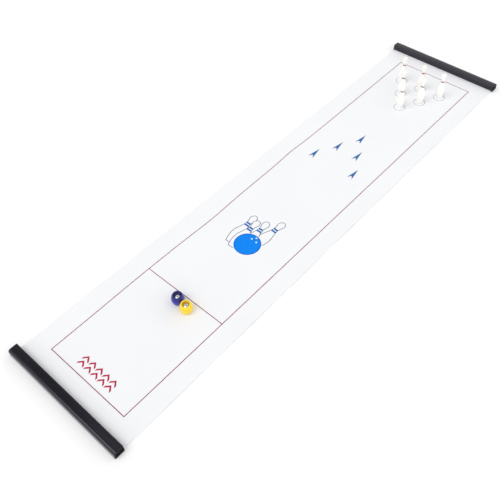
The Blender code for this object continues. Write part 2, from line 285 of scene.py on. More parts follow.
def noise(where, scale, detail=2.0, roughness=0.5):
    return addNode(where.id_data, "ShaderNodeTexNoise",
                   {"Vector": where, "Scale": scale, "Detail": detail,
                    "Roughness": roughness}).outputs["Fac"]


def remap(value, low, high, newLow=0.0, newHigh=1.0):
    return addNode(value.id_data, "ShaderNodeMapRange",
                   {"Value": value, "From Min": low, "From Max": high, "To Min": newLow,
                    "To Max": newHigh}).outputs["Result"]


def sums(way, first, second=0.0):
    # one step of arithmetic; the second value may be a plain number
    return addNode(first.id_data, "ShaderNodeMath", {0: first, 1: second},
                   operation=way).outputs["Value"]


def blendColour(amount, first, second):
    # between two colours; either may be another node's output
    first, second = ((*value, 1) if isinstance(value, tuple) else value
                     for value in (first, second))
    return addNode(amount.id_data, "ShaderNodeMix", {"Factor": amount, 6: first, 7: second},
                   data_type="RGBA").outputs[2]


def paintWith(material, colour, roughness, height, strength, depth):
    # joins the patterns to the shader; the height becomes a bump
    bump = addNode(height.id_data, "ShaderNodeBump",
                   {"Height": height, "Strength": strength, "Distance": depth})
    feed(shaderOf(material), {"Base Color": colour, "Roughness": roughness,
                              "Normal": bump.outputs["Normal"]})
    return material


# Lane mat: coated white cloth, with inks printed on it

cloth = {
    "white": (0.945, 0.952, 0.968),
    "shade": (0.925, 0.934, 0.955),
    # grey of the long edges' band, and the painted shade beside the rails
    "greyAndRailShade": (0.86, 0.87, 0.89),
    "roughness": 0.62,
    "threadPitch": 0.0008,
    "threadDepth": 0.00006,
    "rippleDepth": 0.0006,     # shading of the roll's memory
    "greyBandWidth": 0.004,         # width of the greyer band at the long edges
    "railShadeReach": 0.05,     # how far from a rail the painted shade of the rail reaches
}


def threads(where):
    # plain weave: raised threads both ways; at scale 1 the node's bands lie tau / 20 apart
    scale = math.tau / (20 * cloth["threadPitch"])
    ways = [addNode(where.id_data, "ShaderNodeTexWave",
                    {"Vector": where, "Scale": scale, "Distortion": 0.25, "Detail": 1.0},
                    bands_direction=direction).outputs["Fac"] for direction in ("X", "Y")]
    return sums("MULTIPLY", *ways)


def makeCloth():
    material = newMaterial("coatedCloth", cloth["white"], cloth["roughness"],
                           {"Specular IOR Level": 0.2, "Sheen Weight": 0.04})
    where = placeOf(material)
    place = coordinates(where)
    across, along = sums("ABSOLUTE", place["X"]), sums("ABSOLUTE", place["Y"])
    halfWidth, railFace = matBox[1].x, farRailBox[0].y
    cloudy = remap(noise(where, 9.0, 3.0), 0.3, 0.7)
    colour = blendColour(cloudy, cloth["white"], cloth["shade"])
    # greyer towards the long edges
    edge = remap(across, halfWidth - cloth["greyBandWidth"], halfWidth)
    # painted shade: the cloth greys towards each rail, standing in for the rail's shadow
    railShadeMask = remap(along, railFace - cloth["railShadeReach"], railFace, 0.0, 0.1)
    # the long edges' grey band or the rails' painted shade, whichever is stronger
    worn = sums("MAXIMUM", sums("MULTIPLY", edge, 0.35), railShadeMask)
    patchy = remap(noise(where, 45.0, 4.0), 0.35, 0.75)
    colour = blendColour(sums("MULTIPLY", worn, patchy), colour, cloth["greyAndRailShade"])
    rough = remap(noise(where, 160.0, 2.0), 0.3, 0.7, 0.55, 0.7)
    ripple = sums("MULTIPLY", noise(placeOf(material, (0.25, 1.0, 1.0)), 14.0, 1.0),
                  cloth["rippleDepth"] / cloth["threadDepth"])
    height = sums("ADD", threads(where), ripple)
    return paintWith(material, colour, rough, height, 0.55, cloth["threadDepth"])


inkColours = {
    # each ink's colour, and the deeper one that it varies to
    "crimsonInk": ((0.56, 0.028, 0.085), (0.47, 0.022, 0.070)),
    "lineInk": ((0.29, 0.010, 0.086), (0.24, 0.008, 0.072)),
    "arrowInk": ((0.042, 0.175, 0.43), (0.036, 0.150, 0.38)),
    "greyInk": ((0.42, 0.42, 0.50), (0.34, 0.34, 0.42)),
    "brightBlueInk": ((0.003, 0.255, 0.97), (0.002, 0.235, 0.90)),
    "deepBlueInk": ((0.004, 0.14, 0.60), (0.004, 0.12, 0.52)),
    "outlineInk": ((0.052, 0.074, 0.22), (0.040, 0.058, 0.17)),
    "bandInk": ((0.011, 0.165, 0.54), (0.009, 0.140, 0.47)),
}


def makeInk(name):
    # screen-printed ink: a little uneven, with the cloth's threads showing through
    colour, deep = inkColours[name]
    material = newMaterial(name, colour, 0.45, {"Specular IOR Level": 0.1})
    where = placeOf(material)
    cover = remap(noise(where, 260.0, 3.0), 0.35, 0.75)
    thread = threads(where)
    thin = remap(thread, 0.90, 1.0, 0.0, 0.08)
    pale = tuple(0.75 * part + 0.22 for part in colour)
    shade = blendColour(thin, blendColour(cover, deep, colour), pale)
    rough = remap(noise(where, 500.0), 0.3, 0.7, 0.38, 0.55)
    return paintWith(material, shade, rough, thread, 0.4, cloth["threadDepth"])


mat = {
    "thickness": 0.0010,
    "hemRadius": 0.00265,      # middle of the cloth, round its rod
    "hemTurn": 300,            # degrees round the rod
    "hemSteps": 26,
    "riseLength": 0.022,       # the climb into the rail's slot
    "riseSteps": 12,
    "slotHeight": 0.00165,     # middle of the cloth in the rail's slot
    "channelSetback": 0.0052,  # the rod's middle behind the rail's face
    "channelHeight": 0.0043,
    "laneStep": 0.010,
    "acrossSteps": 36,
    "edgeLift": 0.0007,        # how far the long edges curl up
    "edgeBand": 0.026,
    "liftRun": 0.17,           # length of one curl along the edge
    "ripple": 0.00003,         # so low that the rings' print stays under a fallen pin
    "rippleRun": 0.105,
    "calmRun": 0.06,           # no lift this close to a rail
    "sidePhase": 1.3,          # sets the two edges apart
    "curlDrift": (1.7, 5.1),   # how far and how fast the waves fall out of step
    "rippleDrift": (0.8, 9.0),
    "topFloor": 0.0010,        # cloth's upper face over the table
    "smooth": 40,              # degrees
}
mat["flatEnd"] = farRailBox[0].y - mat["riseLength"]


def easeIn(share):
    share = min(max(share, 0.0), 1.0)
    return share * share * (3 - 2 * share)


def matLift(x, y):
    # slight curl of the long edges and memory of the roll, fading out near the rails
    held = easeIn((mat["flatEnd"] - abs(y)) / mat["calmRun"])
    edge = easeIn((abs(x) - matBox[1].x + mat["edgeBand"]) / mat["edgeBand"])
    side = mat["sidePhase"] if x > 0 else 0.0
    far, fast = mat["curlDrift"]
    curl = 0.5 + 0.5 * math.sin(math.tau * y / mat["liftRun"] + side + far * math.sin(fast * y))
    far, fast = mat["rippleDrift"]
    drift = far * math.sin(fast * x + side)
    wave = 0.5 + 0.5 * math.sin(math.tau * y / mat["rippleRun"] + drift)
    return held * (mat["edgeLift"] * edge * curl + mat["ripple"] * wave)


def matPath():
    # the cloth's middle line from the lane's middle to the far hem, as (along, height)
    low = mat["topFloor"] - mat["thickness"] / 2
    steps = round(mat["flatEnd"] / mat["laneStep"])
    path = [(mat["flatEnd"] * step / steps, low) for step in range(steps)]
    for step in range(mat["riseSteps"] + 1):
        share = step / mat["riseSteps"]
        path.append((mat["flatEnd"] + mat["riseLength"] * share,
                     low + (mat["slotHeight"] - low) * easeIn(share)))
    railFace = farRailBox[0].y
    middle = (railFace + mat["channelSetback"], mat["channelHeight"])
    return path + arcLine(middle, mat["hemRadius"], -90, mat["hemTurn"] - 90, mat["hemSteps"])


def makeMat(material):
    path = matPath()
    path = [(-along, height) for along, height in reversed(path[1:])] + path
    start, low = path[0]
    width = matBox[1].x - matBox[0].x
    calm()
    bpy.ops.mesh.primitive_plane_add(size=1, location=(0, start + 0.5, low))
    bpy.context.object.scale.x = width
    piece = fresh("laneMat")
    openMesh(piece)
    pick(piece, "VERT", lambda vert: vert.co.y > start + tiny)     # keeps the near edge alone
    bpy.ops.mesh.delete(type="VERT")
    pickAll()
    bpy.ops.mesh.subdivide(number_cuts=mat["acrossSteps"] - 1)
    for (along, height), (further, higher) in zip(path, path[1:]):
        pull(y=further - along, z=higher - height)
    calm()
    for vert in piece.data.vertices:
        vert.co.z += matLift(vert.co.x, vert.co.y)
    tidy(piece, material)
    faceUp(piece)
    settle(piece, "SOLIDIFY", thickness=mat["thickness"], offset=0.0, use_even_offset=True)
    softEdges(piece, mat["smooth"])
    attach(piece, "lane")
    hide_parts("lane_mat")


# Prints on the mat, each a thin film of ink that follows the cloth

ink = {
    "film": 0.00004,
    "gap": 0.000012,           # between the cloth and the film
    "run": 0.008,              # long films are cut into pieces of about this length
    # (place along the lane, half length, shift to the right): where the left border bows
    "bows": ((-0.148, 0.064, 0.0026), (0.110, 0.044, -0.0024), (-0.350, 0.085, -0.0010)),
}


def bow(x, y):
    # sideways drift of the print, strongest at the left border and gone half way to the middle
    drift = sum(shift * math.exp(-((y - place) / run) ** 2) for place, run, shift in ink["bows"])
    return drift * easeIn(-2 * x / laneLines["halfWidth"] - 1)


def finishPrint(piece, material):
    # gives the flat shape its film and lays it on the cloth
    layPrint(thicken(piece, ink["film"], paint=material))


def layPrint(piece):
    calm()
    for vert in piece.data.vertices:
        vert.co.x += laneMiddle + bow(vert.co.x, vert.co.y)
        vert.co.z += mat["topFloor"] + ink["gap"] + matLift(vert.co.x, vert.co.y)
    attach(piece, "lane")


def flatBox(name, left, right, near, far):
    calm()
    bpy.ops.mesh.primitive_plane_add(size=1, location=((left + right) / 2, (near + far) / 2, 0))
    bpy.context.object.scale = (right - left, far - near, 1)
    return fresh(name)


def flatDisc(name, radius, sides, x=0.0, y=0.0):
    calm()
    bpy.ops.mesh.primitive_circle_add(vertices=sides, radius=radius, fill_type="NGON",
                                      location=(x, y, 0))
    return fresh(name)


def hollow(piece, stroke):
    # leaves a band of this width along the edge of a flat shape
    openMesh(piece)
    bpy.ops.mesh.inset(thickness=stroke)
    bpy.ops.mesh.delete(type="FACE")


def cutLong(piece, length):
    # splits the edges of about this length, so that the film can follow the cloth
    cuts = max(int(length / ink["run"]) - 1, 1)
    pick(piece, "EDGE", lambda edge: abs(edge.calc_length() - length) < ink["run"] / 2)
    bpy.ops.mesh.subdivide(number_cuts=cuts)


laneLines = {"halfWidth": 0.0955, "halfLength": 0.547, "foulLine": -0.3166, "stroke": 0.0015}


def makeLaneLines(material):
    wide, long, stroke = laneLines["halfWidth"], laneLines["halfLength"], laneLines["stroke"]
    border = flatBox("borderPrint", -wide, wide, -long, long)
    hollow(border, stroke)
    cutLong(border, 2 * long)
    cutLong(border, 2 * wide)
    finishPrint(border, material)
    inner = wide - stroke
    foul = flatBox("foulLinePrint", -inner, inner, laneLines["foulLine"] - stroke / 2,
                   laneLines["foulLine"] + stroke / 2)
    openMesh(foul)
    cutLong(foul, 2 * inner)
    finishPrint(foul, material)
    print("lane lines done")


arrows = {
    "length": 0.0330,
    "width": 0.0120,
    "notch": 0.0088,
    "firstTip": 0.2604,
    "step": 0.0513,            # how far the next pair's tips lie behind
    "spacing": 0.0260,
    "middle": -0.0019,
}


def makeArrows(material):
    # darts in a V that points down the lane
    dart = flatDisc("dart", 1, 3)
    long, half = arrows["length"], arrows["width"] / 2
    tip, *feet = sorted(dart.data.vertices, key=lambda vert: -vert.co.y)
    left, right = sorted(feet, key=lambda vert: vert.co.x)
    for corner, place in ((tip, (0, 0, 0)), (left, (-half, -long, 0)), (right, (half, -long, 0))):
        corner.co = place
    openMesh(dart)
    pick(dart, "EDGE", lambda edge: abs(edge.calc_length() - 2 * half) < tiny)
    bpy.ops.mesh.subdivide(number_cuts=1)
    pick(dart, "VERT", lambda vert: abs(vert.co.x) < tiny and vert.co.y < -long / 2)
    slide(y=arrows["notch"])
    pickAll()
    bpy.ops.mesh.quads_convert_to_tris()
    for number, column in enumerate(range(-2, 3), 1):
        shift = (arrows["middle"] + column * arrows["spacing"],
                 arrows["firstTip"] - abs(column) * arrows["step"], 0)
        finishPrint(copyOf(dart, f"arrowPrint_{number}", shift), material)
    drop(dart)
    print("arrows done")


chevrons = {
    "count": 5,
    "rows": 2,
    "pitch": 0.0176,
    "width": 0.0146,
    "rise": 0.0076,
    "stroke": 0.0045,
    "firstFoot": -0.5352,
    "stack": 0.0112,           # from one row to the next
    "middle": 0.0020,
}


def makeChevrons(material):
    # rows of chevrons that point down the lane; those behind each other are one piece
    half, stroke = chevrons["width"] / 2, chevrons["stroke"]
    for place in range(chevrons["count"]):
        x = chevrons["middle"] + (place - (chevrons["count"] - 1) / 2) * chevrons["pitch"]
        marks = []
        for row in range(chevrons["rows"]):
            foot = chevrons["firstFoot"] + row * chevrons["stack"]
            mark = flatBox("mark", x - half, x + half, foot, foot + stroke)
            openMesh(mark)
            bpy.ops.mesh.bisect(plane_co=(x, 0, 0), plane_no=(1, 0, 0))
            pick(mark, "VERT", lambda vert: abs(vert.co.x - x) < tiny)
            slide(y=chevrons["rise"])
            marks.append(mark)
        finishPrint(joinAll(marks, f"chevronPrint_{place + 1}"), material)
    print("chevrons done")


pinRing = {"outer": 0.0134, "stroke": 0.0011, "sides": 72}


def makePinRings(material):
    for number in range(1, 7):
        foot = footOf(f"pin_{number}")
        ring = flatDisc(f"pinRingPrint_{number}", pinRing["outer"], pinRing["sides"],
                        foot.x - laneMiddle, foot.y)
        hollow(ring, pinRing["stroke"])
        finishPrint(ring, material)
    print("rings under the pins done")


figure = {
    "ballMiddle": (0.0063, -0.1506),
    "ballRadius": 0.0272,
    "ballSides": 128,
    "rim": 0.0020,
    "holes": ((0.0042, -0.1350), (0.0102, -0.1279), (0.0168, -0.1362)),
    "holeRadius": 0.0018,
    "holeSides": 32,
    "stroke": 0.0012,
    "pinHeight": 0.086,
    "blockHeight": 0.002,      # of what is cut away where one shape lies behind another
    # front to back: foot's middle, lean in degrees
    "pins": (((-0.0154, -0.1764), 0.3), ((0.0033, -0.1666), -1.3), ((0.0186, -0.1476), 6.0),
             ((-0.0272, -0.1701), -0.5)),
    # (half width, height), as shares of the figure's height
    "outlineShares": ((0.075, 0.0), (0.118, 0.12), (0.148, 0.29), (0.135, 0.43), (0.088, 0.58),
                      (0.062, 0.70), (0.070, 0.79), (0.096, 0.88)),
    "outlineSteps": 40,
    "domeSteps": 10,
    "bandShares": ((0.621, 0.667), (0.693, 0.739)),
}


def figureOutline():
    height = figure["pinHeight"]
    knots = [(half * height, up * height) for half, up in figure["outlineShares"]]
    side = easyCurve(knots, figure["outlineSteps"])
    half, up = side[-1]
    return side + arcLine((0, up), half, 0, 90, figure["domeSteps"], height - up)[1:-1]


def standFigure(piece, foot, lean):
    # leans the flat shape about the middle of its foot and puts it in place
    focus(piece)
    piece.matrix_world = (Matrix.Translation((*foot, 0))
                          @ Matrix.Rotation(math.radians(-lean), 4, "Z"))
    return fresh(piece.name)


def flatPin():
    # a strip pulled up and widened along the pin's outline, then made one face
    outline = figureOutline()
    first = outline[0][0]
    piece = flatBox("front", -first, first, -figure["stroke"], 0.0)
    openMesh(piece)
    pick(piece, "VERT", lambda vert: vert.co.y < -tiny)            # keeps the upper edge alone
    bpy.ops.mesh.delete(type="VERT")
    pickAll()
    for (half, low), (wider, high) in zip(outline, outline[1:]):
        pull(y=high - low)
        bpy.ops.transform.resize(value=(wider / half, 1, 1), center_override=(0, high, 0))
    pickAll()
    bpy.ops.mesh.select_mode(type="FACE")
    pickAll()
    bpy.ops.mesh.dissolve_faces()
    calm()
    return piece


def outlineHalf(outline, up):
    # the figure's half width at one height
    for (half, low), (wider, high) in zip(outline, outline[1:]):
        if low <= up <= high:
            return half + (wider - half) * (up - low) / (high - low)


def bandPiece(name, shares):
    # one stripe across the neck, as wide as the pin is there
    low, high = (share * figure["pinHeight"] for share in shares)
    outline = figureOutline()
    band = flatBox(name, -1, 1, low, high)
    openMesh(band)
    for up in (low, high):
        half = outlineHalf(outline, up)
        pick(band, "VERT", lambda vert: abs(vert.co.y - up) < tiny)
        bpy.ops.transform.resize(value=(half, 1, 1), center_override=(0, up, 0))
    calm()
    return band


def makeFigure(bright, deep, outlineInk, bandInk):
    # a ball in front of four outlined pins
    radius, sides, middle = figure["ballRadius"], figure["ballSides"], figure["ballMiddle"]
    ball = flatDisc("ballPrint", radius, sides, *middle)
    for paint in (bright, deep):
        ball.data.materials.append(paint)
    openMesh(ball)
    bpy.ops.mesh.inset(thickness=figure["rim"])
    calm()
    for face in ball.data.polygons:                                # the rim is the deep one
        face.material_index = int((face.center.xy - Vector(middle)).length > figure["rim"])
    thicken(ball, ink["film"])
    for place in figure["holes"]:
        calm()
        bpy.ops.mesh.primitive_cylinder_add(vertices=figure["holeSides"],
                                            radius=figure["holeRadius"],
                                            depth=figure["blockHeight"], location=(*place, 0))
        carve(ball, fresh("fingerHole"))
    layPrint(ball)
    front = flatDisc("front", radius + figure["stroke"], sides, *middle)
    fronts = [thicken(front, figure["blockHeight"], 0.0)]
    for number, (foot, lean) in enumerate(figure["pins"], 1):
        whole = standFigure(flatPin(), foot, lean)
        outline = copyOf(whole, f"pinPrint_{number}")
        hollow(outline, figure["stroke"])
        parts = [(thicken(outline, ink["film"]), outlineInk)]
        for place, shares in enumerate(figure["bandShares"], 1):
            band = bandPiece(f"neckBandPrint_{number}_{place}", shares)
            band = standFigure(band, foot, lean)
            parts.append((thicken(band, ink["film"]), bandInk))
        for part, paint in parts:
            for front in fronts:
                carve(part, copyOf(front, "frontCopy"))
            tidy(part, paint)
            layPrint(part)
        fronts.append(thicken(whole, figure["blockHeight"], 0.0))
    for front in fronts:
        drop(front)
    print("ball and pins print done")


# End rails and their caps

rail = {
    "crown": 0.0002,           # how far the top domes
    "lean": 0.0008,            # how far the outer side leans in at its top
    "footRadius": 0.0005,
    "browRadius": 0.0012,      # upper edge towards the lane
    "shoulderRadius": 0.0060,  # upper edge away from it
    "sharpest": 0.0002,
    "wall": 0.0016,
    "chamberRadius": 0.0010,
    "slotLow": 0.0009,
    "slotHigh": 0.0024,
    "lipRadius": 0.0003,       # rounding of the slot's edges
    "lipSteps": 4,
    "channelSetback": 0.0052,
    "channelRadius": 0.0034,
    "channelSides": 64,
    "cornerSteps": 8,
    "crownCuts": 9,
    "capRoundShare": 0.75,     # share of the cap's thickness that its rounding takes
    "capSteps": 7,
    "plugRoot": 0.0005,        # the plug starts this far inside the cap
    "plugLength": 0.008,
    "plugWall": 0.0012,
    "clearance": 0.0003,
    "over": 0.01,              # how far cutters pass what they cut
    "smooth": 32,              # degrees
}
rail["depth"] = farRailBox[1].y - farRailBox[0].y
rail["height"] = farRailBox[1].z


def section(name, x, front, inset, radii, crown=0.0):
    # the rail's section as a flat face at one place along it: an upright plane with one
    # corner leaned in, inset, its corners rounded and its top raised to a slight dome
    depth, top = rail["depth"], rail["height"] - rail["crown"]
    calm()
    bpy.ops.mesh.primitive_plane_add(size=1, rotation=(0, math.pi / 2, 0),
                                     location=(x, (front + depth) / 2, top / 2))
    bpy.context.object.scale = (top, depth - front, 1)
    piece = fresh(name)
    openMesh(piece)
    pick(piece, "VERT", lambda vert: vert.co.y > depth - tiny and vert.co.z > top - tiny)
    slide(y=-rail["lean"])
    if inset:
        bpy.ops.mesh.select_mode(type="FACE")
        pickAll()
        bpy.ops.mesh.inset(thickness=inset)
        bpy.ops.mesh.select_all(action="INVERT")
        bpy.ops.mesh.delete(type="FACE")
    middle = ((front + depth) / 2, top / 2)
    foot, heel, shoulder, brow = radii
    corners = ((-1, -1, foot), (1, -1, heel), (1, 1, shoulder), (-1, 1, brow))
    tilt = math.atan(rail["lean"] / top)
    for side, up, radius in corners:
        # a bevel tags what it makes, which may reach past the middle
        pick(piece, "VERT", lambda vert: (vert.co.y - middle[0]) * side > 0
             and (vert.co.z - middle[1]) * up > 0 and not vert.tag)
        corner = math.pi / 2 + (up * tilt if side > 0 else 0)
        reach = max(radius - inset, rail["sharpest"]) / math.tan(corner / 2)
        bpy.ops.mesh.bevel(offset_type="OFFSET", offset=reach, segments=rail["cornerSteps"],
                           profile=0.5, affect="VERTICES")
    if crown:
        pick(piece, "EDGE", lambda edge: edge.calc_length() > (depth - front) / 3
             and all(end.co.z > middle[1] for end in edge.verts)
             and abs(edge.verts[0].co.z - edge.verts[1].co.z) < tiny)
        shape = bmesh.from_edit_mesh(piece.data)
        ends = sorted(vert.co.y for vert in shape.verts if vert.select)
        level = next(vert.co.z for vert in shape.verts if vert.select)
        bpy.ops.mesh.subdivide(number_cuts=rail["crownCuts"])
        for step in range(1, rail["crownCuts"] + 1):
            share = step / (rail["crownCuts"] + 1)
            spot = ends[0] + (ends[-1] - ends[0]) * share
            pick(piece, "VERT", lambda vert: abs(vert.co.y - spot) < 10 * tiny
                 and abs(vert.co.z - level) < tiny)
            slide(z=crown * (1 - (2 * share - 1) ** 2))
    calm()
    return piece


def outsideSection(name, x, inset=0.0):
    radii = (rail["footRadius"], rail["footRadius"], rail["shoulderRadius"], rail["browRadius"])
    return section(name, x, 0.0, inset, radii, rail["crown"])


def chamberSection(name, x, inset=0.0):
    front = rail["channelSetback"] + rail["channelRadius"]
    radius = rail["chamberRadius"] + rail["wall"]
    radii = (radius, radius, rail["shoulderRadius"], radius)
    return section(name, x, front, rail["wall"] + inset, radii)


def drawOut(piece, length):
    # pulls a flat section along the rail
    openMesh(piece)
    pull(x=length)
    return tidy(piece)


def moveToFace(piece, name):
    # sections are drawn with the rail's lane face at zero
    focus(piece)
    piece.matrix_world = Matrix.Translation((0, farRailBox[0].y, 0))
    return fresh(name)


def makeRail():
    start, over = farRailBox[0].x, rail["over"]
    length = farRailBox[1].x - start
    bar = drawOut(outsideSection("farRail", start), length)
    carve(bar, drawOut(chamberSection("chamber", start - over), length + 2 * over))
    calm()
    bpy.ops.mesh.primitive_cylinder_add(
        vertices=rail["channelSides"], radius=rail["channelRadius"], depth=length + 2 * over,
        rotation=(0, math.pi / 2, 0),
        location=(0, rail["channelSetback"], rail["slotLow"] + rail["channelRadius"]))
    carve(bar, fresh("rodChannel"))
    calm()
    bpy.ops.mesh.primitive_cube_add(size=1, location=(
        0, (rail["channelSetback"] - over) / 2, (rail["slotLow"] + rail["slotHigh"]) / 2))
    bpy.context.object.scale = (length + 2 * over, rail["channelSetback"] + over,
                                rail["slotHigh"] - rail["slotLow"])
    carve(bar, fresh("matSlot"))
    openMesh(bar)
    pick(bar, "EDGE", lambda edge: edge.calc_length() > length / 2 and all(
        abs(end.co.y) < tiny and min(abs(end.co.z - rail["slotLow"]),
                                     abs(end.co.z - rail["slotHigh"])) < tiny
        for end in edge.verts))
    bpy.ops.mesh.bevel(offset=rail["lipRadius"], segments=rail["lipSteps"], profile=0.5,
                       affect="EDGES")
    return moveToFace(bar, "farRail")


def makeCap():
    # the right-hand cap of the far rail: a domed end lofted over shrinking sections, and a plug
    thickness = farRailBox[0].x - farLeftCapBox[0].x - rail["clearance"]
    seat = farRailBox[1].x + rail["clearance"]
    rounding = thickness * rail["capRoundShare"]
    rings = [outsideSection("ring", seat)]
    for step in range(rail["capSteps"] + 1):
        angle = math.pi / 2 * step / rail["capSteps"]
        rings.append(outsideSection("ring", seat + thickness - rounding * (1 - math.sin(angle)),
                                    rounding * (1 - math.cos(angle))))
    for ring in rings[1:-1]:
        openMesh(ring)
        bpy.ops.mesh.delete(type="ONLY_FACE")
    cap = joinAll(rings, "farRightCap")
    places = sorted({round(vert.co.x, 7) for vert in cap.data.vertices})
    for near, far in zip(places, places[1:]):
        openMesh(cap)
        pick(cap, "EDGE", lambda edge: any(
            all(abs(end.co.x - place) < tiny / 10 for end in edge.verts) for place in (near, far)))
        bpy.ops.mesh.bridge_edge_loops()
    tidy(cap)
    reach = rail["plugLength"] + rail["plugRoot"]
    plug = drawOut(chamberSection("plug", seat + rail["plugRoot"], rail["clearance"]), -reach)
    cup = drawOut(chamberSection("cup", seat, rail["clearance"] + rail["plugWall"]), -reach)
    carve(plug, cup)
    carve(cap, plug, "UNION")
    return moveToFace(cap, "farRightCap")


railLook = {
    "black": (0.0047, 0.0045, 0.0066),
    "dusty": (0.010, 0.0097, 0.013),
    "streak": (0.014, 0.0135, 0.018),
    "gleam": (0.86, 0.82, 1.0),
    "scuff": (0.06, 0.06, 0.068),
    "grainScale": 2600.0,
    "grainDepth": 0.00003,
    "faceSlant": 0.75,         # a cap's faces that turn further outwards than this are matt
    # stretch of the streaks, lowest and highest roughness, specular level, coat
    "drawnBlackPlastic": ((0.02, 1, 1), (0.15, 0.25), 0.5, 0.2),
    "mouldedBlackPlastic": ((1, 1, 1), (0.18, 0.28), 0.5, 0.2),
    "mattBlackPlastic": ((1, 1, 1), (0.55, 0.70), 0.04, 0.0),
}


def makeBlackPlastic(name):
    stretch, roughness, shine, coat = railLook[name]
    material = newMaterial(name, railLook["black"], roughness[0],
                           {"Specular IOR Level": shine, "Specular Tint": (*railLook["gleam"], 1),
                            "Coat Weight": coat, "Coat Roughness": 0.12})
    where, streaks = placeOf(material), placeOf(material, stretch)
    drawn = noise(streaks, 900.0, 3.0, 0.6)
    lines = remap(noise(streaks, 380.0, 2.0), 0.46, 0.62, 0.0, 0.8)
    colour = blendColour(lines, railLook["black"], railLook["streak"])
    dust = remap(noise(where, 60.0, 4.0, 0.6), 0.45, 0.8, 0.0, 0.3)
    colour = blendColour(dust, colour, railLook["dusty"])
    scratches = noise(placeOf(material, (0.15, 1.6, 1.0)), 700.0, 5.0, 0.7)
    scratches = remap(scratches, 0.70, 0.78, 0.0, 0.5)
    worn = remap(noise(where, 22.0, 2.0), 0.52, 0.66)
    colour = blendColour(sums("MULTIPLY", scratches, worn), colour, railLook["scuff"])
    rough = remap(drawn, 0.3, 0.7, *roughness)
    grain = noise(where, railLook["grainScale"], 2.0)
    height = sums("ADD", grain, sums("MULTIPLY", drawn, 0.8))
    return paintWith(material, colour, rough, height, 0.5, railLook["grainDepth"])


def makeEnds(railPlastic, capPlastic, capFace, rodPlastic):
    farRail = makeRail()
    rightCap = makeCap()
    nearRail = copyOf(farRail, "nearRail", turn=math.pi)
    leftCap = copyOf(rightCap, "farLeftCap")
    leftCap.scale.x = -1
    leftCap = fresh("farLeftCap")
    shown = {
        "near_rail": nearRail,
        "far_rail": farRail,
        "far_rail_right_cap": rightCap,
        "far_rail_left_cap": leftCap,
        "near_rail_left_cap": copyOf(rightCap, "nearLeftCap", turn=math.pi),
        "near_rail_right_cap": copyOf(leftCap, "nearRightCap", turn=math.pi),
    }
    for node, piece in shown.items():
        isCap = node.endswith("cap")
        tidy(piece, capPlastic if isCap else railPlastic, rail["smooth"])
        if isCap:
            piece.data.materials.append(capFace)
            for face in piece.data.polygons:
                face.material_index = int(abs(face.normal.x) > railLook["faceSlant"])
        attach(piece, "lane")
        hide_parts(node)
    for node in ("near_mat_rod", "far_mat_rod"):
        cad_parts[node].material_slots[0].material = rodPlastic
    print("rails and caps done")


def makeRodPlastic():
    material = newMaterial("greyRodPlastic", (0.45, 0.45, 0.45), 0.6)
    streak = remap(noise(placeOf(material, (0.1, 1, 1)), 800.0, 3.0), 0.3, 0.7)
    colour = blendColour(streak, (0.40, 0.40, 0.41), (0.50, 0.50, 0.49))
    return paintWith(material, colour, remap(streak, 0, 1, 0.5, 0.7), streak, 0.3, 0.00003)


# Pins

pin = {
    "footRound": 0.0006,       # rounding of the foot's edge
    "footArc": (-90, -8, 6),   # from and to, in degrees, and steps
    "dishDepth": 0.0012,
    "dishShare": 0.64,         # of the foot's radius
    "bowlShares": (0.1, 0.4, 0.7, 0.9),
    "bellyRadius": 0.0097,
    "tipRadius": 0.00002,
    "sides": 96,
    "curveSteps": 64,
    "domeSteps": 18,
    "stripeLow": 0.0442,       # over the foot
    "stripeHigh": 0.0470,
    # (height as a share of the pin's, radius as a share of the belly's)
    "outlineShares": ((0.000, 0.535), (0.140, 0.830), (0.300, 1.000), (0.430, 0.885),
                      (0.575, 0.560), (0.675, 0.410), (0.785, 0.465), (0.910, 0.550)),
    "ivory": (0.965, 0.960, 0.930),
    "warm": (0.950, 0.935, 0.885),
    "speck": (0.62, 0.57, 0.50),
    "stripe": (0.20, 0.020, 0.026),
    "stripeWorn": (0.32, 0.08, 0.08),
    "smooth": 50,              # degrees
}


def makeIvory():
    material = newMaterial("ivoryPlastic", pin["ivory"], 0.24,
                           {"Coat Weight": 0.35, "Coat Roughness": 0.12})
    where = placeOf(material)
    flow = remap(noise(placeOf(material, (1, 1, 0.35)), 130.0, 3.0), 0.35, 0.75)
    speck = remap(noise(where, 1500.0, 2.0), 0.75, 0.82, 0.0, 0.2)
    colour = blendColour(speck, blendColour(flow, pin["ivory"], pin["warm"]), pin["speck"])
    rough = remap(noise(where, 420.0, 3.0), 0.3, 0.7, 0.22, 0.27)
    return paintWith(material, colour, rough, noise(where, 180.0, 1.0), 0.15, 0.00003)


def makeStripePaint():
    material = newMaterial("pinStripePaint", pin["stripe"], 0.33, {"Coat Weight": 0.3})
    where = placeOf(material)
    thin = remap(noise(where, 900.0, 4.0), 0.50, 0.75, 0.0, 0.8)
    colour = blendColour(thin, pin["stripe"], pin["stripeWorn"])
    rough = remap(noise(where, 1200.0), 0.3, 0.7, 0.26, 0.42)
    return paintWith(material, colour, rough, thin, 0.3, 0.00003)


def pinRings(height):
    knots = [(wide * pin["bellyRadius"], up * height) for up, wide in pin["outlineShares"]]
    side = easyCurve(knots, pin["curveSteps"])
    foot, soft = side[0][0], pin["footRound"]
    edge = arcLine((foot - soft, soft), soft, *pin["footArc"])
    head, up = side[-1]
    dome = arcLine((0, up), head, 0, 90, pin["domeSteps"], height - up)[1:-1]
    side = [point for point in side if point[1] > soft]
    for cut in (pin["stripeLow"], pin["stripeHigh"]):      # rings exactly at the stripe's edges
        nearest = min(range(len(side)), key=lambda place: abs(side[place][1] - cut))
        side[nearest] = (side[nearest][0], cut)
    dish = foot * pin["dishShare"]
    bowl = [(dish * share, pin["dishDepth"] * (1 - share ** 2)) for share in pin["bowlShares"]]
    return bowl + [(dish, 0.0)] + edge + side + dome + [(pin["tipRadius"], height)]


